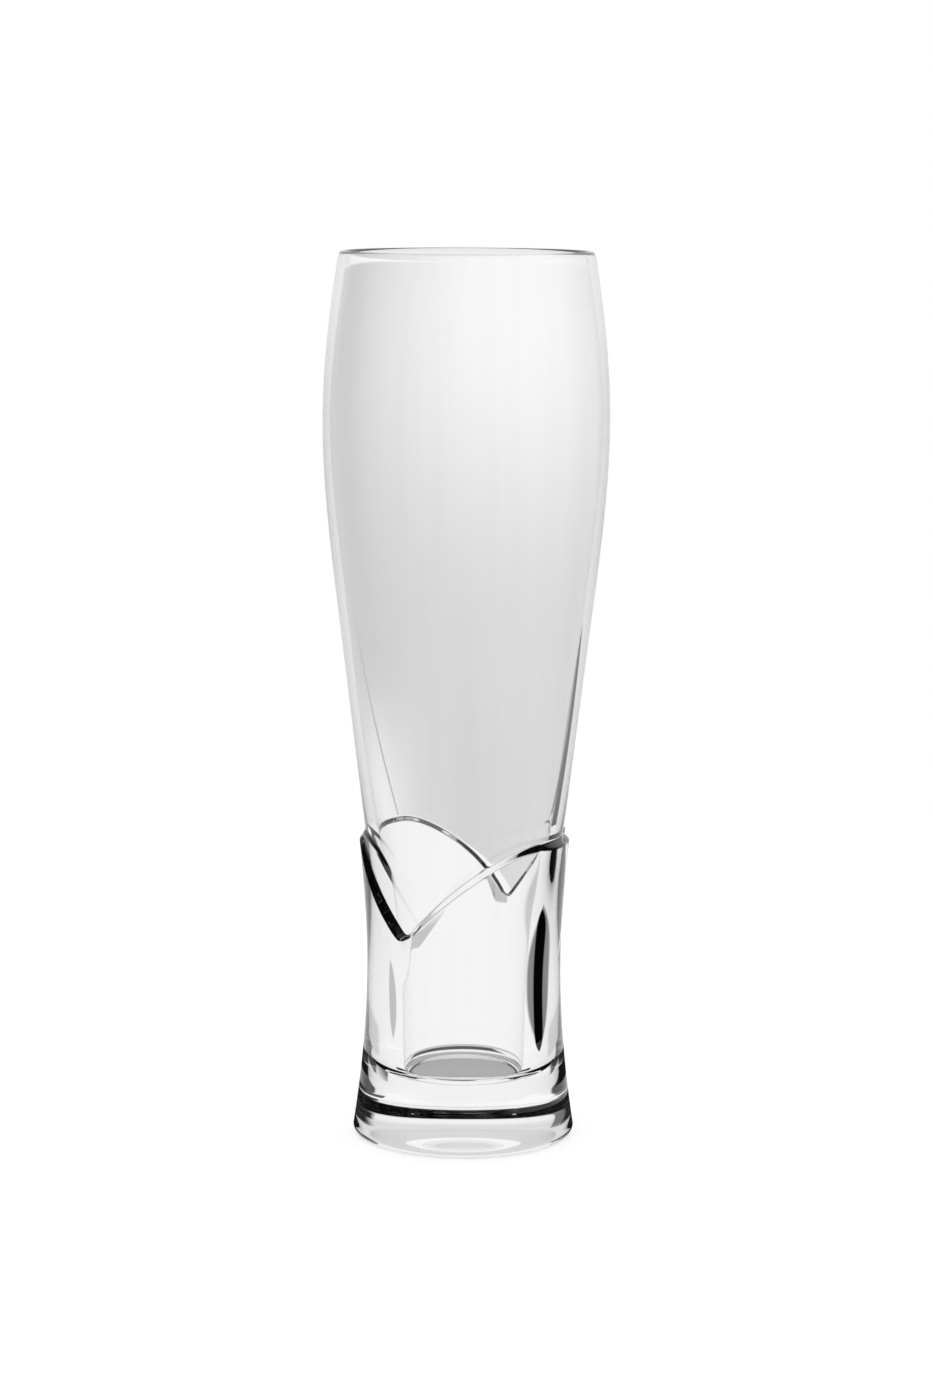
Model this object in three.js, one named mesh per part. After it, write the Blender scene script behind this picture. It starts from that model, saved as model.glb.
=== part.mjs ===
// A tall wheat-beer glass of clear glass: a round blown bowl rising out of a thick shank whose top is
// wrapped by two overlapping waves, on a heavy solid base. The real glass is one piece, so the meshes
// are its zones, which meet face to face where the glass is fused: the rim, belly and taper of the bowl,
// the shank, the base and the foot ring.
// Millimetres, +Z up, origin on the table at the middle of the foot, front of the glass towards -Y.
import * as THREE from "three";

// Foot and base. A slope is the radius gained per millimetre of height.
const FOOT_RADIUS = 31.4;
const FOOT_EDGE_ROUND = 2.2;
const FOOT_FLARE_SLOPE = -0.155;
const FOOT_RING_HEIGHT = 1.2;
const FOOT_RING_WIDTH = 6;
const PUNT_RISE = 1.4;
const BASE_THICKNESS = 17.6;
const FLOOR_FILLET = 3;

// Shank: the thick wall round the bore, from the floor of the hollow up to the waves.
const SHANK_RADIUS = 27.5;
const SHANK_NARROWEST_HEIGHT = 49;
const BORE_FOOT_RADIUS = 17.4;
const BORE_DRAFT_SLOPE = 0.02;
const BORE_HEIGHT = 48;
const BORE_RADIUS = 18.1;
const BORE_SLOPE = 0.08;

// Waves: the top edge of the shank rises from two tips to two crests, steeply on one side of a tip.
const CREST_HEIGHT = 87;
const WAVE_DROP = 26.5;
const WAVE_COUNT = 2;
const FIRST_TIP_ANGLE = -40;
const STEEP_SIDE_ANGLE = 45;
const LONG_RISE_ANGLE = 87;
const STEEP_SIDE_SAG = 0.14;
const LIP_RADIUS = 29.7;
const LIP_SLOPE = 0.1;
const LEDGE_WIDTH = 2.2;
const LEDGE_TIP_SHARE = 0.6;
const LEDGE_CREST_SHARE = 1.4;

// Long side of a wave: its lip lies flatter, and the cut fades out down the shank and before the crest.
const LONG_SIDE_CUT = 0.9;
const CUT_START_ANGLE = 8;
const CUT_END_ANGLE = 77;
const CUT_FADE_ANGLE = 17;
const CUT_FADE_SHARE = 0.6;

// Lap: the end of each wave that runs on past the crest and dies out under the next wave.
const LAP_STEP = 0.9;
const LAP_RISE = 0.8;
const LAP_DROP = 10;
const LAP_CURVE = 2.2;
const LAP_ANGLE = 38;
const LAP_EDGE_WIDTH = 1.4;

// Bowl: a straight taper, then a full belly that draws in to the rim.
const WAIST_RADIUS = 27.95;
const TAPER_SLOPE = 0.1223;
const TAPER_LENGTH = 66;
const BELLY_RADIUS = 40;
const BELLY_RISE = 50;
const RIM_RISE = 47;
const RIM_RADIUS = 35.5;
const RIM_SLOPE = -0.16;
const RIM_BEAD_HEIGHT = 2.6;

// Inside of the bowl: the hollow widens from the bore through the throat to thin walls.
const THROAT_RISE = 5;
const THROAT_WALL = 3;
const THROAT_SLOPE = 0.165;
const TAPER_WALL = 2.5;
const BELLY_WALL = 2;
const RIM_WALL = 2.4;

// Fineness of the facets.
const ROUND_STEPS = 72;
const STEEP_SIDE_STEPS = 12;
const LONG_SIDE_STEPS = 24;
const ARC_STEPS = 4;

const TURN = 360;
const WAVE_ANGLE = TURN / WAVE_COUNT;
const TIP_HEIGHT = CREST_HEIGHT - WAVE_DROP;
const TAPER_TOP = CREST_HEIGHT + TAPER_LENGTH;
const BELLY_HEIGHT = TAPER_TOP + BELLY_RISE;
const RIM_HEIGHT = BELLY_HEIGHT + RIM_RISE;
const BEAD_BOTTOM = RIM_HEIGHT - RIM_BEAD_HEIGHT;
const BASE_TOP = BASE_THICKNESS + FLOOR_FILLET;
const LIP_HEIGHT = CREST_HEIGHT - LEDGE_WIDTH;
const LAP_TOP = CREST_HEIGHT + LAP_RISE + LAP_EDGE_WIDTH;
const THROAT_HEIGHT = CREST_HEIGHT + THROAT_RISE;

const glass = new THREE.MeshStandardMaterial({
  name: "clear_glass",
  color: 0xeef2f3,
  roughness: 0.03,
  metalness: 0,
  transparent: true,
  opacity: 0.35,
});

// A smooth outline through stations of height, radius and slope, as a function of height.
function outline(stations) {
  return (z) => {
    const above = stations.findIndex((station, i) => i > 0 && z <= station.z);
    const end = above < 0 ? stations.length - 1 : above;
    const a = stations[end - 1];
    const b = stations[end];
    const span = b.z - a.z;
    const t = (z - a.z) / span;
    const towardsB = t * t * (3 - 2 * t);
    const slopeA = t * (1 - t) * (1 - t) * span * a.slope;
    const slopeB = t * t * (t - 1) * span * b.slope;
    return a.r + (b.r - a.r) * towardsB + slopeA + slopeB;
  };
}

const bowlOutside = outline([
  { z: TIP_HEIGHT, r: WAIST_RADIUS - WAVE_DROP * TAPER_SLOPE, slope: TAPER_SLOPE },
  { z: TAPER_TOP, r: WAIST_RADIUS + TAPER_LENGTH * TAPER_SLOPE, slope: TAPER_SLOPE },
  { z: BELLY_HEIGHT, r: BELLY_RADIUS, slope: 0 },
  { z: RIM_HEIGHT, r: RIM_RADIUS, slope: RIM_SLOPE },
]);

const shankOutside = outline([
  { z: FOOT_EDGE_ROUND, r: FOOT_RADIUS, slope: FOOT_FLARE_SLOPE },
  { z: SHANK_NARROWEST_HEIGHT, r: SHANK_RADIUS, slope: 0 },
  { z: LIP_HEIGHT, r: LIP_RADIUS, slope: LIP_SLOPE },
]);

const hollow = outline([
  { z: BASE_TOP, r: BORE_FOOT_RADIUS, slope: BORE_DRAFT_SLOPE },
  { z: BORE_HEIGHT, r: BORE_RADIUS, slope: BORE_SLOPE },
  { z: THROAT_HEIGHT, r: bowlOutside(THROAT_HEIGHT) - THROAT_WALL, slope: THROAT_SLOPE },
  { z: TAPER_TOP, r: bowlOutside(TAPER_TOP) - TAPER_WALL, slope: TAPER_SLOPE },
  { z: BELLY_HEIGHT, r: BELLY_RADIUS - BELLY_WALL, slope: 0 },
  { z: RIM_HEIGHT, r: RIM_RADIUS - RIM_WALL, slope: RIM_SLOPE },
]);

// Points on an arc of a circle, from one angle to another, in degrees.
function arc(centreR, centreZ, radius, from, to) {
  return Array.from({ length: ARC_STEPS + 1 }, (_, i) => {
    const angle = THREE.MathUtils.degToRad(from + ((to - from) * i) / ARC_STEPS);
    return new THREE.Vector2(centreR + radius * Math.cos(angle), centreZ + radius * Math.sin(angle));
  });
}

// Points along an outline between two heights.
function along(radiusAt, from, to, steps) {
  return Array.from({ length: steps + 1 }, (_, i) => {
    const z = THREE.MathUtils.lerp(from, to, i / steps);
    return new THREE.Vector2(radiusAt(z), z);
  });
}

// Height of the shank's top edge, by the angle past a tip, from the steep side to the next crest.
function edgeHeight(pastTip) {
  if (pastTip < 0) {
    const up = -pastTip / STEEP_SIDE_ANGLE;
    return TIP_HEIGHT + WAVE_DROP * up * (1 - STEEP_SIDE_SAG + STEEP_SIDE_SAG * up);
  }
  const up = Math.min(pastTip / LONG_RISE_ANGLE, 1);
  return TIP_HEIGHT + WAVE_DROP * (1.5 * up - 0.5 * up ** 3);
}

// The ledge is widest at the start of a steep side and narrowest at its tip.
function ledgeShare(pastTip) {
  if (pastTip < 0) {
    return THREE.MathUtils.lerp(LEDGE_TIP_SHARE, LEDGE_CREST_SHARE, -pastTip / STEEP_SIDE_ANGLE);
  }
  const start = THREE.MathUtils.smoothstep(pastTip, 0, CUT_START_ANGLE);
  const end = THREE.MathUtils.smoothstep(pastTip, CUT_END_ANGLE, WAVE_ANGLE - STEEP_SIDE_ANGLE);
  return LEDGE_TIP_SHARE + (1 - LEDGE_TIP_SHARE) * start + (LEDGE_CREST_SHARE - 1) * end;
}

// The ledge between wave and bowl keeps its width across its own slanting run, so it is taller where
// the edge is steep.
function ledgeHeight(pastTip) {
  const step = STEEP_SIDE_ANGLE / STEEP_SIDE_STEPS;
  const stepLength = THREE.MathUtils.degToRad(step) * SHANK_RADIUS;
  const here = edgeHeight(pastTip);
  const before = Math.max(pastTip - step, -STEEP_SIDE_ANGLE);
  const after = Math.min(pastTip + step, WAVE_ANGLE - STEEP_SIDE_ANGLE);
  const back = (here - edgeHeight(before)) / stepLength;
  const forward = (edgeHeight(after) - here) / stepLength;
  return LEDGE_WIDTH * ledgeShare(pastTip) * Math.hypot(1, Math.hypot(back, forward) / Math.SQRT2);
}

// How much closer to the axis the lip is on the long side of a wave.
function longSideCut(pastTip) {
  const start = THREE.MathUtils.smoothstep(pastTip, 0, CUT_START_ANGLE);
  const end = THREE.MathUtils.smoothstep(pastTip, CUT_END_ANGLE, CUT_END_ANGLE + CUT_FADE_ANGLE);
  return LONG_SIDE_CUT * start * (1 - end);
}

// How far the lap of the wave before stands out of the bowl, by the angle past a tip.
function lapStep(pastTip, z) {
  const pastCrest = (pastTip + STEEP_SIDE_ANGLE) / LAP_ANGLE;
  if (pastCrest >= 1) return 0;
  const top = CREST_HEIGHT + LAP_RISE - LAP_DROP * pastCrest ** LAP_CURVE;
  const below = THREE.MathUtils.smoothstep(top - z, -LAP_EDGE_WIDTH / 2, LAP_EDGE_WIDTH / 2);
  return LAP_STEP * (1 - pastCrest) * below;
}

// The angles of the columns, measured past a tip, so that every tip and crest has its own column.
function columnAngles() {
  const longSide = WAVE_ANGLE - STEEP_SIDE_ANGLE;
  const steep = Array.from({ length: STEEP_SIDE_STEPS }, (_, i) => (i / STEEP_SIDE_STEPS - 1) * STEEP_SIDE_ANGLE);
  const long = Array.from({ length: LONG_SIDE_STEPS }, (_, i) => (i / LONG_SIDE_STEPS) * longSide);
  return [...steep, ...long];
}

// A closed solid lofted once round the axis through a section for each column. Every section is a loop
// of as many points, anticlockwise with radius to the right and height up.
function loftRound(sectionAt, mirrored) {
  const positions = [];
  const indices = [];
  const perWave = columnAngles();
  const columns = Array.from({ length: WAVE_COUNT }, (_, wave) => perWave.map((angle) => [wave, angle])).flat();
  columns.forEach(([wave, pastTip]) => {
    const angle = THREE.MathUtils.degToRad(FIRST_TIP_ANGLE + wave * WAVE_ANGLE + pastTip);
    sectionAt(pastTip).forEach((p) => positions.push(p.x * Math.sin(angle), -p.x * Math.cos(angle), p.y));
  });
  const loop = positions.length / 3 / columns.length;
  for (let i = 0; i < columns.length; i += 1) {
    const next = (i + 1) % columns.length;
    for (let j = 0; j < loop; j += 1) {
      const a = i * loop + j;
      const b = next * loop + j;
      const c = next * loop + ((j + 1) % loop);
      const d = i * loop + ((j + 1) % loop);
      if (mirrored) indices.push(a, b, d, b, c, d);
      else indices.push(a, b, c, a, c, d);
    }
  }
  const geometry = new THREE.BufferGeometry();
  geometry.setAttribute("position", new THREE.Float32BufferAttribute(positions, 3));
  geometry.setIndex(indices);
  geometry.computeVertexNormals();
  return geometry;
}

// A closed outline revolved round the axis.
function revolve(points) {
  return new THREE.LatheGeometry(points, ROUND_STEPS).rotateX(Math.PI / 2);
}

function named(name, geometry) {
  const mesh = new THREE.Mesh(geometry, glass);
  mesh.name = name;
  return mesh;
}

// The ring that the glass stands on, under the rounded bottom edge.
function footRing() {
  const centreR = FOOT_RADIUS - FOOT_EDGE_ROUND;
  const topAngle = THREE.MathUtils.radToDeg(Math.asin(FOOT_RING_HEIGHT / FOOT_EDGE_ROUND - 1));
  const inner = centreR - FOOT_RING_WIDTH;
  const edge = arc(centreR, FOOT_EDGE_ROUND, FOOT_EDGE_ROUND, -90, topAngle);
  const start = new THREE.Vector2(inner, 0);
  const top = new THREE.Vector2(inner, FOOT_RING_HEIGHT);
  return named("foot_ring", revolve([start, ...edge, top, start]));
}

// The solid base, hollowed a little underneath, with the floor of the hollow on top.
function base() {
  const centreR = FOOT_RADIUS - FOOT_EDGE_ROUND;
  const edgeAngle = THREE.MathUtils.radToDeg(Math.asin(FOOT_RING_HEIGHT / FOOT_EDGE_ROUND - 1));
  const ringInner = centreR - FOOT_RING_WIDTH;
  const puntRadius = (ringInner ** 2 + PUNT_RISE ** 2) / (2 * PUNT_RISE);
  const puntAngle = THREE.MathUtils.radToDeg(Math.asin(ringInner / puntRadius));
  const puntCentre = FOOT_RING_HEIGHT + PUNT_RISE - puntRadius;
  const punt = arc(0, puntCentre, puntRadius, 90, 90 - puntAngle);
  const edge = arc(centreR, FOOT_EDGE_ROUND, FOOT_EDGE_ROUND, edgeAngle, 0);
  const side = along(shankOutside, FOOT_EDGE_ROUND, BASE_TOP, ARC_STEPS).slice(1);
  const fillet = arc(BORE_FOOT_RADIUS - FLOOR_FILLET, BASE_TOP, FLOOR_FILLET, 0, -90);
  const middle = new THREE.Vector2(0, BASE_THICKNESS);
  return named("base", revolve([...punt, ...edge, ...side, ...fillet, middle]));
}

// The shank: its outside climbs to the wavy lip, and the ledge rolls over to the bowl.
function shank() {
  const section = (pastTip) => {
    const edge = edgeHeight(pastTip);
    const ledge = ledgeHeight(pastTip);
    const lip = edge - ledge;
    const cut = longSideCut(pastTip);
    const climb = (z) => (z - BASE_TOP) / (lip - BASE_TOP);
    const cutOutside = (z) => shankOutside(z) - cut * THREE.MathUtils.smoothstep(climb(z), CUT_FADE_SHARE, 1);
    const outside = along(cutOutside, BASE_TOP, lip, 10);
    const lipR = cutOutside(lip);
    const seatR = bowlOutside(edge) + lapStep(pastTip, edge);
    const roll = [0.2, 0.4, 0.6, 0.8, 1].map((t) => {
      const r = THREE.MathUtils.lerp(lipR, seatR, THREE.MathUtils.smoothstep(t, 0, 1));
      return new THREE.Vector2(r, lip + ledge * t);
    });
    return [...outside, ...roll, ...along(hollow, edge, BASE_TOP, 8)];
  };
  return named("shank", loftRound(section, false));
}

// The taper: the straight lower wall of the bowl, whose foot fills the dips between the waves.
function taper() {
  const section = (pastTip) => {
    const edge = edgeHeight(pastTip);
    const relief = (z) => bowlOutside(z) + lapStep(pastTip, z);
    const dip = along(relief, edge, LAP_TOP, 8);
    const outside = along(bowlOutside, LAP_TOP, TAPER_TOP, 1).slice(1);
    const inside = along(hollow, TAPER_TOP, THROAT_HEIGHT, 4);
    const throat = along(hollow, THROAT_HEIGHT, edge, 4).slice(1);
    return [...dip, ...outside, ...inside, ...throat];
  };
  return named("taper", loftRound(section, true));
}

// The belly: the thin blown wall, widest at its middle and drawn in to the rim.
function belly() {
  const outside = along(bowlOutside, TAPER_TOP, BELLY_HEIGHT, 5);
  const shoulder = along(bowlOutside, BELLY_HEIGHT, BEAD_BOTTOM, 5).slice(1);
  const insideShoulder = along(hollow, BEAD_BOTTOM, BELLY_HEIGHT, 5);
  const inside = along(hollow, BELLY_HEIGHT, TAPER_TOP, 5).slice(1);
  return named("belly", revolve([...outside, ...shoulder, ...insideShoulder, ...inside, outside[0]]));
}

// The fire-polished rim: a rounded bead as thick as the wall.
function rim() {
  const outside = bowlOutside(BEAD_BOTTOM);
  const inside = hollow(BEAD_BOTTOM);
  const half = RIM_WALL / 2;
  const bead = arc(RIM_RADIUS - half, RIM_HEIGHT - half, half, 0, 180);
  const start = new THREE.Vector2(outside, BEAD_BOTTOM);
  return named("rim", revolve([start, ...bead, new THREE.Vector2(inside, BEAD_BOTTOM), start]));
}

const beerGlass = new THREE.Group();
beerGlass.name = "beer_glass";
beerGlass.add(footRing(), base(), shank(), taper(), belly(), rim());

export default beerGlass;
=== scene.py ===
import math

import bpy
import numpy as np
from mathutils import Matrix, Vector


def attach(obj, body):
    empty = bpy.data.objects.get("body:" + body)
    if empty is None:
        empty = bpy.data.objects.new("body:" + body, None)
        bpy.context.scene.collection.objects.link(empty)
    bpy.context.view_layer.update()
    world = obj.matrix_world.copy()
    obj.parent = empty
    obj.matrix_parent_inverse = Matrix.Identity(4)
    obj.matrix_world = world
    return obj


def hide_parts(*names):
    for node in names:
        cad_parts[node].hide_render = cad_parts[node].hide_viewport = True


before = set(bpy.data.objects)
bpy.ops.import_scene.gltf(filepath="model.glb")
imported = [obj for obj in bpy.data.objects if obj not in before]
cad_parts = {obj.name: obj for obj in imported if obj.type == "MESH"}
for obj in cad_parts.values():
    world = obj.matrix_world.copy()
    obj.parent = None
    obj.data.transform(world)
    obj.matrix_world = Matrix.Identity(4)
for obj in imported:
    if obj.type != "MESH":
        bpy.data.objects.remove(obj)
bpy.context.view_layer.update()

MM = 0.001

# Sizes of the glass in millimetres and degrees, the same values as its solids. A slope is radius
# gained per height. First the foot and the base.
FOOT_RADIUS = 31.4
FOOT_EDGE_ROUND = 2.2
FOOT_FLARE_SLOPE = -0.155
FOOT_RING_HEIGHT = 1.2
FOOT_RING_WIDTH = 6.0
PUNT_RISE = 1.4
BASE_THICKNESS = 17.6
FLOOR_FILLET = 3.0

# The shank and its bore.
SHANK_RADIUS = 27.5
SHANK_NARROWEST_HEIGHT = 49.0
BORE_FOOT_RADIUS = 17.4
BORE_DRAFT_SLOPE = 0.02
BORE_HEIGHT = 48.0
BORE_RADIUS = 18.1
BORE_SLOPE = 0.08

# The waves round the top of the shank, with the ledge on their edge.
CREST_HEIGHT = 87.0
WAVE_DROP = 26.5
WAVE_COUNT = 2
FIRST_TIP_ANGLE = -40.0
STEEP_SIDE_ANGLE = 45.0
LONG_RISE_ANGLE = 87.0
STEEP_SIDE_SAG = 0.14
LIP_RADIUS = 29.7
LIP_SLOPE = 0.1
LEDGE_WIDTH = 2.2
LEDGE_TIP_SHARE = 0.6

# The lip lies closer to the axis on the long side of a wave.
LONG_SIDE_CUT = 0.9
CUT_START_ANGLE = 8.0
CUT_FADE_ANGLE = 17.0
CUT_FADE_SHARE = 0.6

# The lap of each wave that runs on past its crest and dies out.
LAP_STEP = 0.9
LAP_RISE = 0.8
LAP_DROP = 10.0
LAP_CURVE = 2.2
LAP_ANGLE = 38.0
LAP_EDGE_WIDTH = 1.4

# The bowl and its wall.
WAIST_RADIUS = 27.95
TAPER_SLOPE = 0.1223
TAPER_LENGTH = 66.0
BELLY_RADIUS = 40.0
BELLY_RISE = 50.0
RIM_RISE = 47.0
RIM_RADIUS = 35.5
RIM_SLOPE = -0.16
THROAT_RISE = 5.0
THROAT_WALL = 3.0
THROAT_SLOPE = 0.165
TAPER_WALL = 2.5
BELLY_WALL = 2.0
RIM_WALL = 2.4

# Two values that differ from the solids', which have a wider ledge at the crests and a cut that
# ends 9 degrees earlier. These were fitted to what the photograph shows through the glass.
LEDGE_CREST_SHARE = 1.05
CUT_END_ANGLE = 86.0

# Roundings of this mesh alone: the punt, the tips and crests of the edge, the start of the lap and
# the ledge, which are plain or sharp in the solids.
PUNT_EDGE_ROUND = 1.5
PUNT_CURVE = 1.5
EDGE_ROUND_ANGLE = 2.5
LAP_START_SHARE = 0.06
LEDGE_SOFT_SHARE = 0.3

# The facet pressed into the long side of a wave beside its tip, which the solids don't have.
FACET_FOOT_ANGLE = 12.8
FACET_END_ANGLE = 32.6
FACET_TIP_HEIGHT = 57.5
FACET_FOOT_HEIGHT = 58.5
FACET_END_HEIGHT = 71.8
FACET_SLOPE = 0.2
FACET_START = (-1.0, 2.0)
FACET_END_SOFT = 2.0

WAVE_ANGLE = 360.0 / WAVE_COUNT
TIP_HEIGHT = CREST_HEIGHT - WAVE_DROP
TAPER_TOP = CREST_HEIGHT + TAPER_LENGTH
BELLY_HEIGHT = TAPER_TOP + BELLY_RISE
RIM_HEIGHT = BELLY_HEIGHT + RIM_RISE
BASE_TOP = BASE_THICKNESS + FLOOR_FILLET
LIP_HEIGHT = CREST_HEIGHT - LEDGE_WIDTH
THROAT_HEIGHT = CREST_HEIGHT + THROAT_RISE

# Fineness of the mesh: steps round a wave, samples over a rounded edge, and rows of points along
# each stretch of the glass, in their order.
STEEP_SIDE_STEPS = 48
LONG_SIDE_STEPS = 120
EDGE_SAMPLES = 11
PUNT_ROWS = 24
FOOT_EDGE_ROWS = 10
FLARE_ROWS = 22
SHANK_ROWS = 30
LIP_ROWS = 16
LEDGE_ROWS = 16
RELIEF_ROWS = 46
TAPER_ROWS = 20
BELLY_ROWS = 22
NECK_ROWS = 24
BEAD_ROWS = 14
THROAT_ROWS = 28
BORE_ROWS = 40
FILLET_ROWS = 12
FLOOR_SHARES = (0.85, 0.65, 0.45, 0.25, 0.1)

# Where some of those rows lie: the ring on the flat of the foot, the heights between which the
# waves bend the rows, how the rows crowd together, and the row along the crease of the facets.
FLAT_RING_WIDTH = 2.0
RELIEF_FOOT = 24.0
RELIEF_TOP = 96.0
LIP_CROWDING = 1.3
RELIEF_CROWDING = 1.25
CREASE_DROP = 5.0
CREASE_GAP = 0.8
CREASE_LEAD_ANGLE = 6.0
CREASE_TRAIL_ANGLE = 12.0
BEAD_GAP = 1.0


def outline(*stations):
    """A smooth outline through stations of (height, radius, slope), as a function of height."""
    heights, radii, slopes = (np.array(values) for values in zip(*stations))

    def radius(z):
        z = np.asarray(z, float)
        i = np.clip(np.searchsorted(heights, z) - 1, 0, len(heights) - 2)
        span = heights[i + 1] - heights[i]
        t = (z - heights[i]) / span
        blend = t * t * (3 - 2 * t)
        bend = t * (1 - t) ** 2 * slopes[i] + t * t * (t - 1) * slopes[i + 1]
        return radii[i] + (radii[i + 1] - radii[i]) * blend + span * bend

    return radius


bowl_outside = outline(
    (TIP_HEIGHT, WAIST_RADIUS - WAVE_DROP * TAPER_SLOPE, TAPER_SLOPE),
    (TAPER_TOP, WAIST_RADIUS + TAPER_LENGTH * TAPER_SLOPE, TAPER_SLOPE),
    (BELLY_HEIGHT, BELLY_RADIUS, 0.0),
    (RIM_HEIGHT, RIM_RADIUS, RIM_SLOPE),
)
shank_outside = outline(
    (FOOT_EDGE_ROUND, FOOT_RADIUS, FOOT_FLARE_SLOPE),
    (SHANK_NARROWEST_HEIGHT, SHANK_RADIUS, 0.0),
    (LIP_HEIGHT, LIP_RADIUS, LIP_SLOPE),
)
hollow = outline(
    (BASE_TOP, BORE_FOOT_RADIUS, BORE_DRAFT_SLOPE),
    (BORE_HEIGHT, BORE_RADIUS, BORE_SLOPE),
    (THROAT_HEIGHT, float(bowl_outside(THROAT_HEIGHT)) - THROAT_WALL, THROAT_SLOPE),
    (TAPER_TOP, float(bowl_outside(TAPER_TOP)) - TAPER_WALL, TAPER_SLOPE),
    (BELLY_HEIGHT, BELLY_RADIUS - BELLY_WALL, 0.0),
    (RIM_HEIGHT, RIM_RADIUS - RIM_WALL, RIM_SLOPE),
)


def smooth(low, high, value):
    """0 below low, 1 above high, and a smooth rise between them."""
    t = np.clip((value - low) / (high - low), 0.0, 1.0)
    return t * t * (3 - 2 * t)


def past_tip(angle):
    """The angle past the nearest tip, from the steep side of that tip to the next crest."""
    return (angle + STEEP_SIDE_ANGLE) % WAVE_ANGLE - STEEP_SIDE_ANGLE


def sharp_edge(angle):
    """Height of the shank's top edge, with sharp tips and crests."""
    turn = past_tip(angle)
    steep = -turn / STEEP_SIDE_ANGLE
    steep = steep * (1 - STEEP_SIDE_SAG + STEEP_SIDE_SAG * steep)
    long = np.minimum(np.maximum(turn, 0.0) / LONG_RISE_ANGLE, 1.0)
    long = 1.5 * long - 0.5 * long**3
    return TIP_HEIGHT + WAVE_DROP * np.where(turn < 0, steep, long)


def edge_height(angle):
    """Height of the shank's top edge, with its tips and crests rounded as moulded glass is."""
    offsets = np.linspace(-EDGE_ROUND_ANGLE, EDGE_ROUND_ANGLE, EDGE_SAMPLES)
    return np.mean([sharp_edge(angle + offset) for offset in offsets], axis=0)


def ledge_share(angle):
    """The ledge is widest at the start of a steep side and narrowest at its tip."""
    turn = past_tip(angle)
    steep = np.clip(-turn / STEEP_SIDE_ANGLE, 0.0, 1.0)
    start = smooth(0.0, CUT_START_ANGLE, turn)
    end = smooth(CUT_END_ANGLE, WAVE_ANGLE - STEEP_SIDE_ANGLE, turn)
    down = LEDGE_TIP_SHARE + (LEDGE_CREST_SHARE - LEDGE_TIP_SHARE) * steep
    up = LEDGE_TIP_SHARE + (1 - LEDGE_TIP_SHARE) * start + (LEDGE_CREST_SHARE - 1) * end
    return np.where(turn < 0, down, up)


def ledge_height(angle):
    """The ledge keeps its width across its own slanting run, so it is taller on a steep edge."""
    step = 3.0
    step_length = math.radians(step) * SHANK_RADIUS
    here = edge_height(angle)
    back = (here - edge_height(angle - step)) / step_length
    forward = (edge_height(angle + step) - here) / step_length
    return LEDGE_WIDTH * ledge_share(angle) * np.sqrt(1 + (back**2 + forward**2) / 2)


def long_side_cut(angle):
    """How much closer to the axis the shank's lip is on the long side of a wave."""
    turn = past_tip(angle)
    end = smooth(CUT_END_ANGLE, CUT_END_ANGLE + CUT_FADE_ANGLE, turn)
    return LONG_SIDE_CUT * smooth(0.0, CUT_START_ANGLE, turn) * (1 - end)


def facet_foot(angle):
    """Height of the lower edge of the facet beside a tip."""
    stations = [
        (-STEEP_SIDE_ANGLE, FACET_TIP_HEIGHT),
        (0.0, FACET_TIP_HEIGHT),
        (FACET_FOOT_ANGLE, FACET_FOOT_HEIGHT),
        (FACET_END_ANGLE, FACET_END_HEIGHT),
        (WAVE_ANGLE - STEEP_SIDE_ANGLE, CREST_HEIGHT),
    ]
    return np.interp(past_tip(angle), *zip(*stations))


def facet(angle, z):
    """How far the facet lies under the shank's face."""
    turn = past_tip(angle)
    end = smooth(FACET_END_ANGLE - FACET_END_SOFT, FACET_END_ANGLE + FACET_END_SOFT, turn)
    inside = smooth(*FACET_START, turn) * (1 - end)
    return FACET_SLOPE * inside * np.maximum(z - facet_foot(angle), 0.0)


def lap_step(angle, z):
    """How far the lap of the wave before stands out of the bowl."""
    past_crest = (past_tip(angle) + STEEP_SIDE_ANGLE) / LAP_ANGLE
    inside = np.clip(past_crest, 0.0, 1.0)
    top = CREST_HEIGHT + LAP_RISE - LAP_DROP * inside**LAP_CURVE
    below = smooth(-LAP_EDGE_WIDTH / 2, LAP_EDGE_WIDTH / 2, top - z)
    start = smooth(0.0, LAP_START_SHARE, past_crest)
    return LAP_STEP * start * (1 - inside) * below


def column_angles():
    """The angles of the mesh's columns past the first tip, finer on the steep sides."""
    steep = (np.arange(STEEP_SIDE_STEPS) / STEEP_SIDE_STEPS - 1) * STEEP_SIDE_ANGLE
    long = np.arange(LONG_SIDE_STEPS) / LONG_SIDE_STEPS * (WAVE_ANGLE - STEEP_SIDE_ANGLE)
    one_wave = np.concatenate([steep, long])
    return np.concatenate([one_wave + wave * WAVE_ANGLE for wave in range(WAVE_COUNT)])


def shares(count):
    """Even shares of a stretch, without its start."""
    return np.linspace(0, 1, count + 1)[1:]


def arc(centre_r, centre_z, radius, start, end, steps):
    """Points of (radius, height) along an arc between two angles."""
    angles = np.radians(np.linspace(start, end, steps + 1))
    return list(zip(centre_r + radius * np.cos(angles), centre_z + radius * np.sin(angles)))


def along(radius_at, start, end, steps):
    """Points of (radius, height) along an outline between two heights."""
    heights = np.linspace(start, end, steps + 1)
    return list(zip(radius_at(heights), heights))


def bevel(t, soft):
    """A ramp from 0 to 1 whose two ends are rounded over the share soft of its length."""
    ends = np.clip(t, 0, soft) ** 2 / (2 * soft)
    middle = np.clip(t - soft, 0, 1 - 2 * soft)
    last = np.clip(t - (1 - soft), 0, soft)
    return (ends + middle + last - last**2 / (2 * soft)) / (1 - soft)


def round_rows(angles, points):
    """Rows that are the same all round, from points of (radius, height)."""
    return [(np.full_like(angles, r), np.full_like(angles, z)) for r, z in points]


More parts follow.
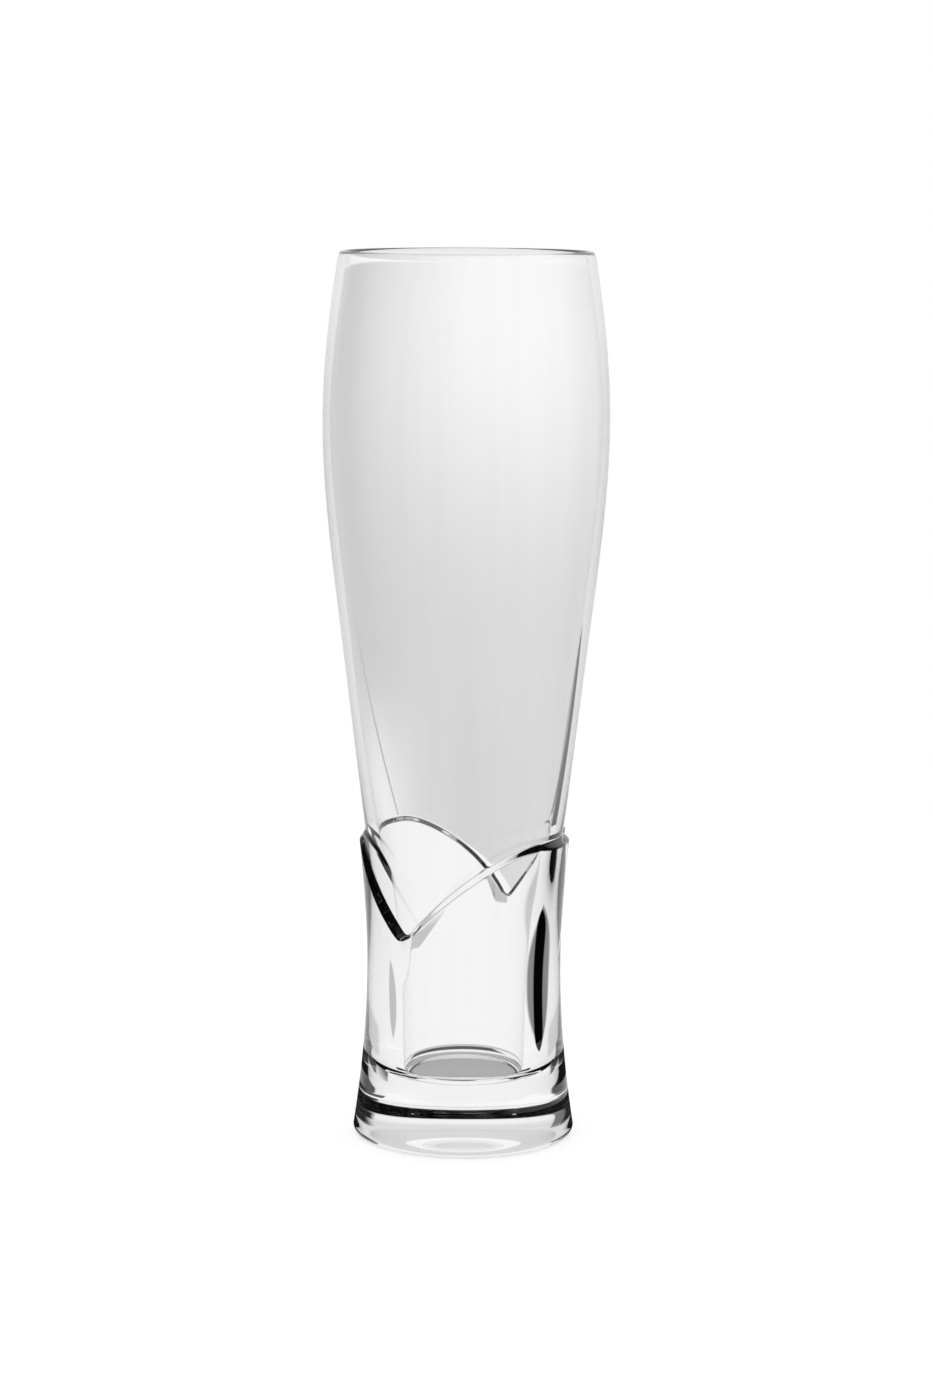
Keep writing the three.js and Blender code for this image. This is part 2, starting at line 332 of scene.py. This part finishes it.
def foot_points():
    """The punt, the flat ring that the glass stands on, its round edge and the flare over it."""
    foot_centre = FOOT_RADIUS - FOOT_EDGE_ROUND
    punt_edge = foot_centre - FOOT_RING_WIDTH + PUNT_EDGE_ROUND
    out = shares(PUNT_ROWS)
    punt = (FOOT_RING_HEIGHT + PUNT_RISE) * (1 - out**2) ** PUNT_CURVE
    return [
        *zip(punt_edge * out, punt),
        (foot_centre - FLAT_RING_WIDTH, 0.0),
        *arc(foot_centre, FOOT_EDGE_ROUND, FOOT_EDGE_ROUND, -90, 0, FOOT_EDGE_ROWS),
        *along(shank_outside, FOOT_EDGE_ROUND, RELIEF_FOOT, FLARE_ROWS)[1:],
    ]


def crease_height(angles, lip):
    """Height of the row along the lower edge of the facets, which runs under the lip elsewhere."""
    turn = past_tip(angles)
    end = smooth(FACET_END_ANGLE, FACET_END_ANGLE + CREASE_TRAIL_ANGLE, turn)
    beside = smooth(-CREASE_LEAD_ANGLE, 0.0, turn) * (1 - end)
    plain = lip - CREASE_DROP
    return np.minimum(plain + (facet_foot(angles) - plain) * beside, lip - CREASE_GAP)


def relief_rows(angles):
    """The shank's face up to its lip, the ledge over it, and the bowl's foot behind the waves."""
    edge = edge_height(angles)
    ledge = ledge_height(angles)
    lip = edge - ledge
    cut = long_side_cut(angles)

    def face(z):
        share = (z - RELIEF_FOOT) / (lip - RELIEF_FOOT)
        return shank_outside(z) - cut * smooth(CUT_FADE_SHARE, 1.0, share) - facet(angles, z)

    def bowl(z):
        return bowl_outside(z) + lap_step(angles, z)

    crease = crease_height(angles, lip)
    heights = [RELIEF_FOOT + (crease - RELIEF_FOOT) * t for t in shares(SHANK_ROWS)]
    crowded = 1 - (1 - shares(LIP_ROWS)) ** LIP_CROWDING
    heights += [crease + (lip - crease) * t for t in crowded]
    rows = [(face(z), z) for z in heights]
    lip_radius = face(lip)
    step = bowl(edge) - lip_radius
    rows += [(lip_radius + step * bevel(t, LEDGE_SOFT_SHARE), lip + ledge * t)
             for t in shares(LEDGE_ROWS)]
    crowded = shares(RELIEF_ROWS) ** RELIEF_CROWDING
    heights = [edge + (RELIEF_TOP - edge) * t for t in crowded]
    return rows + [(bowl(z), z) for z in heights]


def bowl_points():
    """The bowl's outside over the relief, the bead of the rim, and the hollow down to its floor."""
    bead = RIM_WALL / 2
    bead_bottom = RIM_HEIGHT - bead
    wall_top = bead_bottom - BEAD_GAP
    floor_edge = BORE_FOOT_RADIUS - FLOOR_FILLET
    return [
        *along(bowl_outside, RELIEF_TOP, TAPER_TOP, TAPER_ROWS)[1:],
        *along(bowl_outside, TAPER_TOP, BELLY_HEIGHT, BELLY_ROWS)[1:],
        *along(bowl_outside, BELLY_HEIGHT, wall_top, NECK_ROWS)[1:],
        *arc(RIM_RADIUS - bead, bead_bottom, bead, 0, 180, BEAD_ROWS),
        *along(hollow, wall_top, BELLY_HEIGHT, NECK_ROWS),
        *along(hollow, BELLY_HEIGHT, TAPER_TOP, BELLY_ROWS)[1:],
        *along(hollow, TAPER_TOP, THROAT_HEIGHT, THROAT_ROWS)[1:],
        *along(hollow, THROAT_HEIGHT, BASE_TOP, BORE_ROWS)[1:],
        *arc(floor_edge, BASE_TOP, FLOOR_FILLET, 0, -90, FILLET_ROWS)[1:],
        *[(floor_edge * share, BASE_THICKNESS) for share in FLOOR_SHARES],
    ]


def ring_mesh(name, rows, angles, first_pole, last_pole):
    """A closed mesh through rows of (radius, height), with a point on the axis at either end."""
    turn = np.radians(FIRST_TIP_ANGLE + angles)
    columns = len(angles)
    points = [np.stack([r * np.sin(turn), -r * np.cos(turn), z], axis=1) for r, z in rows]
    points = np.concatenate([*points, [[0, 0, first_pole], [0, 0, last_pole]]]) * MM
    pole = len(rows) * columns
    top = pole - columns
    j = np.arange(columns)
    k = (j + 1) % columns
    quads = [np.stack([row + j, row + k, row + columns + k, row + columns + j], 1)
             for row in range(0, top, columns)]
    fans = [np.stack([np.full(columns, pole), k, j], 1),
            np.stack([top + j, top + k, np.full(columns, pole + 1)], 1)]
    faces = np.concatenate(quads).tolist() + np.concatenate(fans).tolist()
    mesh = bpy.data.meshes.new(name)
    mesh.from_pydata(points.tolist(), [], faces)
    mesh.validate()
    mesh.polygons.foreach_set("use_smooth", np.ones(len(mesh.polygons), bool))
    mesh.update()
    return mesh


def build_glass():
    """The whole glass as one skin: up the outside, over the rim and down to the floor inside."""
    angles = column_angles()
    rows = round_rows(angles, foot_points())
    rows += relief_rows(angles)
    rows += round_rows(angles, bowl_points())
    mesh = ring_mesh("beer_glass", rows, angles, FOOT_RING_HEIGHT + PUNT_RISE, BASE_THICKNESS)
    glass = bpy.data.objects.new("beer_glass", mesh)
    bpy.context.scene.collection.objects.link(glass)
    return glass


# The camera, fitted to the ellipses of the rim and the foot: lens and sensor in millimetres, places
# in metres and roll in degrees.
CAMERA_LENS = 92.8
CAMERA_SENSOR = 36.0
CAMERA_POSITION = (0.0004, -1.0041, 0.2776)
CAMERA_AIM = (0.0004, 0.0, 0.1245)
CAMERA_ROLL = 0.27


def add_camera():
    data = bpy.data.cameras.new("camera")
    data.sensor_width = CAMERA_SENSOR
    data.lens = CAMERA_LENS
    camera = bpy.data.objects.new("camera", data)
    position = Vector(CAMERA_POSITION)
    look = (Vector(CAMERA_AIM) - position).to_track_quat("-Z", "Y").to_matrix().to_4x4()
    roll = Matrix.Rotation(math.radians(CAMERA_ROLL), 4, "Z")
    camera.matrix_world = Matrix.Translation(position) @ look @ roll
    bpy.context.scene.collection.objects.link(camera)
    bpy.context.scene.camera = camera


class Nodes:
    """Short ways to add and join shader nodes in one node tree."""

    def __init__(self, tree):
        self.nodes = tree.nodes
        self.links = tree.links
        self.nodes.clear()

    def add(self, kind, **values):
        node = self.nodes.new(kind)
        for key, value in values.items():
            setattr(node, key, value)
        return node

    def join(self, value, socket):
        """Link a socket to another one, or set it to a plain value."""
        if isinstance(value, bpy.types.NodeSocket):
            self.links.new(value, socket)
        else:
            socket.default_value = value

    def math(self, operation, *values):
        node = self.add("ShaderNodeMath", operation=operation)
        for value, socket in zip(values, node.inputs):
            self.join(value, socket)
        return node.outputs[0]

    def rise(self, value, low, high, start=0.0, end=1.0):
        """A smooth change from start to end while the value goes from low to high."""
        node = self.add("ShaderNodeMapRange", interpolation_type="SMOOTHSTEP")
        names = ("Value", "From Min", "From Max", "To Min", "To Max")
        for item, name in zip((value, low, high, start, end), names):
            self.join(item, node.inputs[name])
        return node.outputs["Result"]

    def mix(self, share, first, second):
        node = self.add("ShaderNodeMix", data_type="FLOAT")
        self.join(share, node.inputs[0])
        self.join(first, node.inputs[2])
        self.join(second, node.inputs[3])
        return node.outputs[0]

    def mix_shader(self, share, first, second):
        node = self.add("ShaderNodeMixShader")
        for value, socket in zip((share, first, second), node.inputs):
            self.join(value, socket)
        return node.outputs[0]

    def noise(self, place, scale, detail):
        stretch = self.add("ShaderNodeMapping")
        self.join(place, stretch.inputs["Vector"])
        self.join(scale, stretch.inputs["Scale"])
        node = self.add("ShaderNodeTexNoise")
        self.join(stretch.outputs["Vector"], node.inputs["Vector"])
        self.join(1.0, node.inputs["Scale"])
        self.join(detail, node.inputs["Detail"])
        return node.outputs["Fac"]

    def ramp(self, value, stops):
        """A grey level that runs through stops of (place, level)."""
        node = self.add("ShaderNodeValToRGB")
        elements = node.color_ramp.elements
        while len(elements) < len(stops):
            elements.new(0.5)
        for element, (place, level) in zip(elements, stops):
            element.position = place
            element.color = (level, level, level, 1)
        self.join(value, node.inputs["Fac"])
        return node.outputs["Color"]


def surface(tree, shader):
    output = tree.add("ShaderNodeOutputMaterial")
    tree.join(shader, output.inputs["Surface"])


# The finish of the glass: faint upright streaks from the mould in its clearness, a fire polish that
# is not quite even, and a slow ripple in the pressed faces. Each has the scale and detail of its
# noise. A range of the noise is turned into a clearness and a roughness.
GLASS_IOR = 1.51
STREAK_SCALE = (260.0, 260.0, 9.0)
STREAK_DETAIL = 2.0
STREAK_RANGE = (0.3, 0.55)
CLEARNESS = (0.986, 1.0)
POLISH_SCALE = (90.0, 90.0, 90.0)
POLISH_DETAIL = 3.0
POLISH_RANGE = (0.45, 0.75)
ROUGHNESS = (0.0, 0.012)
RIPPLE_SCALE = (55.0, 55.0, 26.0)
RIPPLE_DETAIL = 1.0
RIPPLE_DEPTH = 0.00004
RIPPLE_STRENGTH = 0.35


def glass_material():
    material = bpy.data.materials.new("clear_glass")
    material.use_nodes = True
    tree = Nodes(material.node_tree)
    place = tree.add("ShaderNodeTexCoord").outputs["Object"]
    streaks = tree.noise(place, STREAK_SCALE, STREAK_DETAIL)
    polish = tree.noise(place, POLISH_SCALE, POLISH_DETAIL)
    ripple = tree.noise(place, RIPPLE_SCALE, RIPPLE_DETAIL)
    bump = tree.add("ShaderNodeBump")
    bump.inputs["Strength"].default_value = RIPPLE_STRENGTH
    bump.inputs["Distance"].default_value = RIPPLE_DEPTH
    tree.join(ripple, bump.inputs["Height"])
    shader = tree.add("ShaderNodeBsdfPrincipled")
    shader.inputs["IOR"].default_value = GLASS_IOR
    shader.inputs["Transmission Weight"].default_value = 1.0
    clearness = tree.ramp(streaks, list(zip(STREAK_RANGE, CLEARNESS)))
    tree.join(clearness, shader.inputs["Base Color"])
    tree.join(tree.rise(polish, *POLISH_RANGE, *ROUGHNESS), shader.inputs["Roughness"])
    tree.join(bump.outputs["Normal"], shader.inputs["Normal"])
    surface(tree, shader.outputs["BSDF"])
    return material


# The stage. Apart from the floor and the white background, only rays that have met the glass see
# it. A compass is in degrees from straight behind the glass, + to the right, and a level is a
# brightness, 1 for white. Lengths are in millimetres.

# The light tent round the bowl: at some heights in millimetres, its level by the compass.
TENT_TONES = [
    (91, [(-180, 0.74), (-65, 1.0), (-50, 1.0), (-42, 0.88), (-24, 0.75), (0, 0.70),
          (30, 0.74), (60, 0.80), (180, 0.74)]),
    (135, [(-180, 0.72), (-64, 0.63), (-50, 0.67), (-35, 0.69), (-20, 0.72), (0, 0.74),
           (20, 0.77), (60, 0.78), (180, 0.72)]),
    (232, [(-180, 0.90), (-64, 0.62), (-52, 0.69), (-44, 0.77), (-30, 0.86), (-17, 0.93),
           (0, 1.02), (25, 1.05), (180, 0.90)]),
]
TENT_GAP = 6.0
TENT_DIP = 1.5
TENT_TOP = RIM_HEIGHT + 12.0
TENT_ROWS = 30
TENT_WALL_LEVEL = 0.88
RIM_BAND = RIM_HEIGHT - 4.2
RIM_BAND_SOFT = 0.4
RIM_BAND_LEVEL = 1.08
# Near the rim the painted black shade of rays reflected many times lightens to this level.
RIM_DEEP_SHADE = 0.5

# The light tent round the shank, which reflections inside its wall show.
SHANK_TENT_GAP = 4.0
SHANK_TENT_FOOT = 14.5
SHANK_TENT_ROWS = 20
SHANK_TENT_LEVEL = 1.0

# What other rays show: the table through the hollow, a painted grey shade on the floor of the
# hollow, and rays that were reflected at least so many times, which are painted black as shade.
TABLE_LEVEL = 1.0
HOLLOW_FLOOR_SHADE = 0.43
DEEP_REFLECTIONS = 3
DEEP_REFLECTION_SHADE = 0.004

# What the outer face of the glass mirrors: the bright room behind it and the dark one before it.
MIRROR_TONE = [(-180, 0.02), (-78, 0.02), (-50, 0.9), (50, 0.9), (70, 0.02), (180, 0.02)]

# Dark strips taped inside the tents: compass and height of the middle, lean, half width and half
# height, in degrees and millimetres, how blunt its ends are, and level. The strips are seen in
# reflections inside the wall, and the lines straight through the bowl.
TAPER_STRIPS = [(91, 100, 0.0, 6, 45, 2.5, 0.1)]
TAPER_LINES = [(-52.5, 115, -0.38, 0.7, 48, 2.5, 0.5)]
SHANK_STRIPS = [
    (78, 40, 0.35, 24, 20, 2.5, 0.27),
    (80, 39, 0.35, 10, 20, 9, 0.0),
    (-86, 35, 0.0, 7, 11, 2.5, 0.6),
    (0, 17, 0.0, 48, 10, 9, 0.74),
]
STRIP_EDGE = 0.12

# A narrow dark card that stands out from the bowl behind its right edge: compass and height of its
# middle, lean, half height, how blunt its ends are, and level; where it starts and ends, in
# millimetres off the bowl; and its foot.
FIN = (82, 101, 0.62, 45, 2.5, 0.1)
FIN_GAP = (2.0, 5.2)
FIN_FOOT = CREST_HEIGHT + 1.5
FIN_ROWS = 40

# A dark collar round the base that its outer face mirrors, with bright lines on it in the same
# terms as the strips.
COLLAR_GAP = 1.0
COLLAR_FOOT = 0.2
COLLAR_TOP = 24.0
COLLAR_ROWS = 20
COLLAR_LEVEL = 0.02
COLLAR_LINES = [(95, 13.7, 0.0, 60, 2.5, 9, 0.75), (-95, 16.2, 0.0, 60, 2.0, 9, 0.6)]

# The pale floor, and the bright ring on it that the solid base shows, between two radii.
FLOOR_RADIUS = 500.0
FLOOR_DROP = 0.05
FLOOR_STEPS = 96
FLOOR_COLOUR = (0.5, 0.5, 0.5, 1)
FLOOR_GLOW = 0.6
TABLE_RING = (36.2, 43.0)
TABLE_RING_EDGE = 1.0

# The studio as the solid base shows it: a white room, darker above, with dark cards. Each card has
# the compass and the height where it starts and ends and the width of its soft edge, all in
# degrees, and its level.
ROOM_LEVEL = 0.97
ROOM_UPPER_LEVEL = 0.78
ROOM_FADE = (4, 20)
CARDS = [
    ("grey_shelf", -400, 400, -15, -3, 4, 0.70),
    ("right_grey", 46, 181, 8, 42, 12, 0.25),
    ("right_wing", 39, 181, -25, 5, 2, 0.04),
    ("right_wing_low", 53, 181, -33, -23, 4, 0.06),
    ("right_wing_middle", 41, 181, 3, 13, 6, 0.02),
    ("right_wing_top", 50, 181, 10, 24, 8, 0.02),
    ("right_wing_tip", 60, 181, 20, 31, 8, 0.08),
    ("left_wing", -181, -50, -20, 5, 10, 0.04),
    ("left_wing_low", -181, -53, -33, -18, 6, 0.04),
    ("left_grey", -181, -42, 4, 36, 2.5, 0.22),
    ("left_wing_top", -181, -57, 3, 24, 8, 0.02),
    ("overhead", -400, 400, 46, 100, 5, 0.40),
]

# The step and the dark edge that the table shows through the hollow, in the same terms.
TABLE_CARDS = [
    ("table_step", -60, 60, -35, -26.5, 2, 0.58),
    ("table_edge", -20, 7, -48, -34, 2, 0.05),
]

# The white background that the camera sees.
BACKGROUND_LEVEL = 1.0

SLEEVE_STEPS = 180


class Rays:
    """What a ray has gone through, each 1 or 0."""

    def __init__(self, tree):
        path = tree.add("ShaderNodeLightPath")
        reflections = path.outputs["Glossy Depth"]
        crossings = path.outputs["Transmission Depth"]
        across = tree.math("GREATER_THAN", crossings, 2.5)
        reflected = tree.math("GREATER_THAN", reflections, 0.5)
        entered = tree.math("GREATER_THAN", crossings, 0.5)
        # Mirror rays were reflected off the outer face, rays of the wall stayed in solid glass, and
        # rays of the floor crossed the hollow and were reflected.
        self.camera = path.outputs["Is Camera Ray"]
        self.inside = entered
        self.mirror = tree.math("MULTIPLY", reflected, tree.math("SUBTRACT", 1.0, entered))
        self.wall = tree.math("MULTIPLY", entered, tree.math("SUBTRACT", 1.0, across))
        self.floor = tree.math("MULTIPLY", reflected, across)
        self.deep = tree.math("GREATER_THAN", reflections, DEEP_REFLECTIONS - 0.5)

    def choose(self, tree, seen_through, wall, deep=DEEP_REFLECTION_SHADE):
        """The level for each kind of ray that went into the glass, with the painted shade of the
        floor of the hollow and of rays reflected many times.
        """
        level = tree.mix(self.floor, seen_through, HOLLOW_FLOOR_SHADE)
        level = tree.mix(self.wall, level, wall)
        return tree.mix(self.deep, level, deep)


def compass(tree, vector):
    """Compass and height of a direction, in degrees."""
    unit = tree.add("ShaderNodeVectorMath", operation="NORMALIZE")
    tree.join(vector, unit.inputs[0])
    split = tree.add("ShaderNodeSeparateXYZ")
    tree.join(unit.outputs[0], split.inputs[0])
    azimuth = tree.math("ARCTAN2", split.outputs["X"], split.outputs["Y"])
    height = tree.math("ARCSINE", split.outputs["Z"])
    return tree.math("DEGREES", azimuth), tree.math("DEGREES", height)


def place_round(tree):
    """Compass in degrees and height in millimetres of the point that is shaded."""
    place = tree.add("ShaderNodeNewGeometry").outputs["Position"]
    azimuth, _ = compass(tree, place)
    split = tree.add("ShaderNodeSeparateXYZ")
    tree.join(place, split.inputs[0])
    return azimuth, tree.math("DIVIDE", split.outputs["Z"], MM)


def around(tree, azimuth, stops):
    """A level that runs through stops of (compass, level)."""
    share = tree.math("MULTIPLY_ADD", azimuth, 1 / 360, 0.5)
    return tree.ramp(share, [(degrees / 360 + 0.5, level) for degrees, level in stops])


def card_cover(tree, azimuth, height, left, right, low, high, soft):
    """How much a card covers a direction: 1 on the card and 0 off it, with a soft edge."""
    sides = [
        (azimuth, left, 0.0, 1.0),
        (azimuth, right, 1.0, 0.0),
        (height, low, 0.0, 1.0),
        (height, high, 1.0, 0.0),
    ]
    cover = 1.0
    for value, place, start, end in sides:
        inside = tree.rise(value, place - soft / 2, place + soft / 2, start, end)
        cover = tree.math("MULTIPLY", cover, inside)
    return cover


def add_cards(tree, azimuth, height, level, cards):
    for _, *place, card_level in cards:
        level = tree.mix(card_cover(tree, azimuth, height, *place), level, card_level)
    return level


def strip_cover(tree, azimuth, height, middle, rise, lean, half_width, half_height, blunt):
    """How much a strip that narrows to its ends covers a place: 1 on the strip and 0 off it."""
    above = tree.math("SUBTRACT", height, rise)
    across = tree.math("WRAP", tree.math("SUBTRACT", azimuth, middle), 180, -180)
    across = tree.math("MULTIPLY_ADD", above, -lean, across)
    wide = tree.math("ABSOLUTE", tree.math("DIVIDE", across, half_width))
    tall = tree.math("ABSOLUTE", tree.math("DIVIDE", above, half_height))
    reach = tree.math("ADD", wide, tree.math("POWER", tall, blunt))
    return tree.rise(reach, 1 - STRIP_EDGE, 1 + STRIP_EDGE, 1.0, 0.0)


def add_strips(tree, azimuth, height, level, strips):
    for *place, strip_level in strips:
        level = tree.mix(strip_cover(tree, azimuth, height, *place), level, strip_level)
    return level


def stage_mesh(name, points, faces):
    """A mesh of the stage, from points in millimetres. Returns the nodes of its new material."""
    mesh = bpy.data.meshes.new(name)
    mesh.from_pydata((np.array(points) * MM).tolist(), [], faces)
    thing = bpy.data.objects.new(name, mesh)
    bpy.context.scene.collection.objects.link(thing)
    material = bpy.data.materials.new(name)
    material.use_nodes = True
    mesh.materials.append(material)
    return Nodes(material.node_tree)


def sleeve(name, radius_at, low, high, rows):
    """An open sleeve round the glass, between two heights that may depend on the compass."""
    turns = np.arange(SLEEVE_STEPS) * 2 * math.pi / SLEEVE_STEPS
    points = []
    for share in np.linspace(0, 1, rows):
        z = low * (1 - share) + high * share + np.zeros(SLEEVE_STEPS)
        r = radius_at(z)
        points.extend(np.stack([r * np.sin(turns), r * np.cos(turns), z], axis=1))
    faces = []
    for row in range(0, (rows - 1) * SLEEVE_STEPS, SLEEVE_STEPS):
        for i in range(SLEEVE_STEPS):
            here, there = row + i, row + (i + 1) % SLEEVE_STEPS
            faces.append((here, there, there + SLEEVE_STEPS, here + SLEEVE_STEPS))
    return stage_mesh(name, points, faces)


def show(tree, level, share):
    """A surface that shines at a level where share is 1, and isn't there where share is 0."""
    shine = tree.add("ShaderNodeEmission")
    tree.join(level, shine.inputs["Strength"])
    clear = tree.add("ShaderNodeBsdfTransparent")
    return tree.mix_shader(share, clear.outputs[0], shine.outputs[0])


def tent_edge():
    """Height where the two tents meet, just under the shank's top edge, round the compass."""
    degrees = np.arange(SLEEVE_STEPS) * 360 / SLEEVE_STEPS
    return edge_height(180.0 - degrees - FIRST_TIP_ANGLE) - TENT_DIP


def add_bowl_tent():
    def radius_at(z):
        return bowl_outside(np.minimum(z, RIM_HEIGHT)) + TENT_GAP

    tree = sleeve("bowl_tent", radius_at, tent_edge(), TENT_TOP, TENT_ROWS)
    azimuth, height = place_round(tree)
    plain = around(tree, azimuth, TENT_TONES[0][1])
    for (low, _), (high, stops) in zip(TENT_TONES, TENT_TONES[1:]):
        plain = tree.mix(tree.rise(height, low, high), plain, around(tree, azimuth, stops))
    plain = add_strips(tree, azimuth, height, plain, TAPER_LINES)
    in_band = tree.rise(height, RIM_BAND - RIM_BAND_SOFT, RIM_BAND + RIM_BAND_SOFT)
    plain = tree.mix(in_band, plain, RIM_BAND_LEVEL)
    # The painted black shade of rays reflected many times lightens from the belly up to the rim
    # band.
    deep = tree.rise(height, BELLY_HEIGHT, RIM_BAND, DEEP_REFLECTION_SHADE, RIM_DEEP_SHADE)
    rays = Rays(tree)
    wall = add_strips(tree, azimuth, height, TENT_WALL_LEVEL, TAPER_STRIPS)
    surface(tree, show(tree, rays.choose(tree, plain, wall, deep), rays.inside))


def add_shank_tent():
    def radius_at(z):
        return shank_outside(z) + SHANK_TENT_GAP

    tree = sleeve("shank_tent", radius_at, SHANK_TENT_FOOT, tent_edge(), SHANK_TENT_ROWS)
    azimuth, height = place_round(tree)
    rays = Rays(tree)
    wall = add_strips(tree, azimuth, height, SHANK_TENT_LEVEL, SHANK_STRIPS)
    # Rays reflected many times show the painted black shade.
    surface(tree, show(tree, tree.mix(rays.deep, wall, DEEP_REFLECTION_SHADE), rays.wall))


def add_fin():
    middle, rise, lean, half_height, blunt, level = FIN
    start, end = FIN_GAP
    points = []
    for z in np.linspace(FIN_FOOT, rise + half_height, FIN_ROWS):
        turn = math.radians(middle + lean * (z - rise))
        width = 1 - abs((z - rise) / half_height) ** blunt
        for side in (-1, 1):
            r = float(bowl_outside(z)) + (start + end + side * width * (end - start)) / 2
            points.append((r * math.sin(turn), r * math.cos(turn), z))
    faces = [(i, i + 1, i + 3, i + 2) for i in range(0, 2 * FIN_ROWS - 2, 2)]
    tree = stage_mesh("dark_fin", points, faces)
    rays = Rays(tree)
    other = tree.math("MAXIMUM", rays.wall, rays.floor)
    surface(tree, show(tree, level, tree.math("SUBTRACT", rays.inside, other)))


def add_collar():
    def radius_at(z):
        return shank_outside(np.maximum(z, FOOT_EDGE_ROUND)) + COLLAR_GAP

    tree = sleeve("base_collar", radius_at, COLLAR_FOOT, COLLAR_TOP, COLLAR_ROWS)
    azimuth, height = place_round(tree)
    level = add_strips(tree, azimuth, height, COLLAR_LEVEL, COLLAR_LINES)
    surface(tree, show(tree, level, Rays(tree).mirror))


def table_ring(tree, rays):
    """Where the floor shows its bright ring to rays of the wall."""
    place = tree.add("ShaderNodeNewGeometry").outputs["Position"]
    length = tree.add("ShaderNodeVectorMath", operation="LENGTH")
    tree.join(place, length.inputs[0])
    radius = tree.math("DIVIDE", length.outputs["Value"], MM)
    ring = tree.math("MULTIPLY", rays.wall, tree.math("SUBTRACT", 1.0, rays.deep))
    for edge, (start, end) in zip(TABLE_RING, ((0.0, 1.0), (1.0, 0.0))):
        half = TABLE_RING_EDGE / 2
        ring = tree.math("MULTIPLY", ring, tree.rise(radius, edge - half, edge + half, start, end))
    return ring


def add_floor():
    turns = [2 * math.pi * i / FLOOR_STEPS for i in range(FLOOR_STEPS)]
    points = [(FLOOR_RADIUS * math.cos(turn), FLOOR_RADIUS * math.sin(turn), -FLOOR_DROP)
              for turn in turns]
    tree = stage_mesh("studio_floor", points, [list(range(FLOOR_STEPS))])
    rays = Rays(tree)
    in_glass = show(tree, ROOM_LEVEL, table_ring(tree, rays))
    diffuse = tree.add("ShaderNodeBsdfDiffuse")
    diffuse.inputs["Color"].default_value = FLOOR_COLOUR
    glow = tree.add("ShaderNodeEmission")
    glow.inputs["Strength"].default_value = FLOOR_GLOW
    seen = tree.add("ShaderNodeAddShader")
    tree.join(diffuse.outputs[0], seen.inputs[0])
    tree.join(glow.outputs[0], seen.inputs[1])
    surface(tree, tree.mix_shader(rays.camera, in_glass, seen.outputs[0]))


def add_world():
    world = bpy.data.worlds.new("studio")
    bpy.context.scene.world = world
    world.use_nodes = True
    tree = Nodes(world.node_tree)
    where = tree.add("ShaderNodeTexCoord").outputs["Generated"]
    azimuth, height = compass(tree, where)
    room = tree.rise(height, *ROOM_FADE, ROOM_LEVEL, ROOM_UPPER_LEVEL)
    room = add_cards(tree, azimuth, height, room, CARDS)
    table = add_cards(tree, azimuth, height, TABLE_LEVEL, TABLE_CARDS)
    rays = Rays(tree)
    level = rays.choose(tree, table, room)
    level = tree.mix(rays.mirror, level, around(tree, azimuth, MIRROR_TONE))
    level = tree.mix(rays.camera, level, BACKGROUND_LEVEL)
    background = tree.add("ShaderNodeBackground")
    background.inputs["Color"].default_value = (1, 1, 1, 1)
    tree.join(level, background.inputs["Strength"])
    output = tree.add("ShaderNodeOutputWorld")
    tree.join(background.outputs[0], output.inputs["Surface"])


# Light takes many turns inside a thick glass before it comes out again.
MAX_BOUNCES = 32
GLOSSY_BOUNCES = 24
TRANSMISSION_BOUNCES = 32

scene = bpy.context.scene
scene.view_settings.view_transform = "Standard"
scene.cycles.max_bounces = MAX_BOUNCES
scene.cycles.glossy_bounces = GLOSSY_BOUNCES
scene.cycles.transmission_bounces = TRANSMISSION_BOUNCES

glass = build_glass()
glass.data.materials.append(glass_material())
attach(glass, "root")
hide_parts("rim", "belly", "taper", "shank", "base", "foot_ring")

add_camera()
add_bowl_tent()
add_shank_tent()
add_fin()
add_collar()
add_floor()
add_world()
